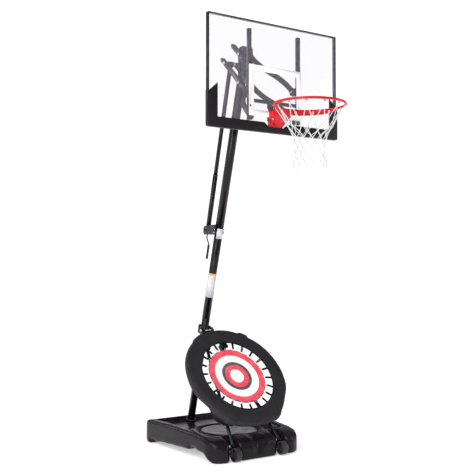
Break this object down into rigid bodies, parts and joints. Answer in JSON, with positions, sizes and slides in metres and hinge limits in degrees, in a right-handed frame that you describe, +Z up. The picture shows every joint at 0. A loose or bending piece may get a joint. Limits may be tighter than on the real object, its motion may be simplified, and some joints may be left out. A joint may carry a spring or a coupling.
{
  "type": "portable basketball hoop",
  "caption": "Freestanding basketball hoop with a wheeled water base, leaning pole, crank-lifted backboard on parallel arms, rim with net, and a sloped round ball rebounder.",
  "frame": {"origin": "centre of the bounding box footprint, on the floor", "axes": "+Z up, the rim points to -Y, the pole and tank are towards +Y, +X is across the backboard"},
  "size_m": [1.132, 1.82, 3.051],
  "materials": {
    "moulded_base": "matte",
    "wheel_plastic": "matte",
    "black_paint": "gloss",
    "dark_plastic": "satin",
    "zinc": "satin",
    "clear_panel": "gloss",
    "trim_black": "satin",
    "white_band": "matte",
    "red_paint": "gloss",
    "net_cord": "matte",
    "pad_cover": "matte",
    "mat_fabric": "matte",
    "bungee_cord": "matte",
    "label_stock": "satin"
  },
  "bodies": {
    "frame": {"base_tank": "moulded_base", "fill_cap": "moulded_base", "wheel_axles": "zinc", "wheel_fork_left": "black_paint", "wheel_fork_right": "black_paint", "pole_lower": "black_paint", "pole_middle": "black_paint", "pole_upper": "black_paint", "pole_cap": "dark_plastic", "pole_collar": "dark_plastic", "height_label": "label_stock", "info_label": "label_stock", "strut_left": "black_paint", "strut_right": "black_paint", "strut_bracket": "black_paint", "strut_bolts": "zinc", "rebounder_frame": "black_paint", "rebounder_clamps": "dark_plastic", "clamp_knobs": "dark_plastic", "rebounder_mat": "mat_fabric", "rebounder_bungees": "bungee_cord", "rebounder_pad": "pad_cover", "pole_head_bracket": "black_paint", "pole_pivot_bolts": "zinc", "pivot_washers": "zinc", "jack_bracket": "dark_plastic", "jack_bracket_bolts": "zinc", "jack_trunnions": "black_paint"},
    "lower_arms": {"lower_arm_left": "black_paint", "lower_arm_right": "black_paint", "jack_stub_pins": "zinc"},
    "upper_arms": {"upper_arm_left": "black_paint", "upper_arm_right": "black_paint"},
    "board": {"backboard_panel": "clear_panel", "board_trim": "trim_black", "corner_guard": "dark_plastic", "target_square": "white_band", "board_bar_left": "black_paint", "board_bar_right": "black_paint", "board_crossbar": "black_paint", "board_pivot_bolts": "zinc", "board_screws": "trim_black", "rim_bracket": "red_paint", "rim_back_plate": "black_paint", "rim_bolts": "zinc", "rim_ring": "red_paint", "net_hooks": "red_paint", "net": "net_cord"},
    "jack_outer": {"jack_outer_tube": "black_paint", "jack_bearing": "dark_plastic", "jack_collar": "dark_plastic"},
    "jack_inner": {"jack_inner_tube": "black_paint", "jack_nut": "zinc", "jack_eye": "dark_plastic"},
    "crank": {"jack_screw": "zinc", "crank_rod": "black_paint", "crank_end_cap": "dark_plastic"},
    "crank_sleeve": {"crank_grip": "dark_plastic"},
    "left_wheel": {"wheel_left": "wheel_plastic"},
    "right_wheel": {"wheel_right": "wheel_plastic"}
  },
  "joints": [
    {"name": "arm_lift", "type": "hinge", "parent": "frame", "child": "lower_arms", "pos_m": [0, 0.0719, 2.703], "axis": [-1, 0, 0], "range_deg": [0, 86]},
    {"name": "upper_arm_lift", "type": "hinge", "parent": "frame", "child": "upper_arms", "pos_m": [0, 0.0719, 2.911], "axis": [-1, 0, 0], "range_deg": [0, 86]},
    {"name": "board_level", "type": "hinge", "parent": "lower_arms", "child": "board", "pos_m": [0, -0.25294, 2.3955], "axis": [-1, 0, 0], "range_deg": [-86, 0]},
    {"name": "jack_swing", "type": "hinge", "parent": "frame", "child": "jack_outer", "pos_m": [0, 0.5762, 1.64], "axis": [1, 0, 0], "range_deg": [0, 5.26]},
    {"name": "jack_slide", "type": "slide", "parent": "jack_outer", "child": "jack_inner", "axis": [0, -0.2436, 0.9699], "range_m": [-0.34652, 0]},
    {"name": "crank_turn", "type": "hinge", "parent": "jack_outer", "child": "crank", "pos_m": [0, 0.5762, 1.64], "axis": [0, -0.2436, 0.9699], "continuous": true},
    {"name": "crank_sleeve_turn", "type": "hinge", "parent": "crank", "child": "crank_sleeve", "pos_m": [0, 0.56614, 1.52406], "axis": [0, -0.2436, 0.9699], "continuous": true},
    {"name": "left_wheel_roll", "type": "hinge", "parent": "frame", "child": "left_wheel", "pos_m": [-0.203, -0.1015, 0.052], "axis": [1, 0, 0], "continuous": true},
    {"name": "right_wheel_roll", "type": "hinge", "parent": "frame", "child": "right_wheel", "pos_m": [0.203, -0.1015, 0.052], "axis": [1, 0, 0], "continuous": true}
  ],
  "couplings": [
    {"joint": "upper_arm_lift", "follows": "arm_lift", "ratio": 1},
    {"joint": "board_level", "follows": "arm_lift", "ratio": -1},
    {"joint": "jack_swing", "follows": "arm_lift", "ratio": 0.060582},
    {"joint": "jack_slide", "follows": "arm_lift", "m_per_rad": -0.23053}
  ]
}
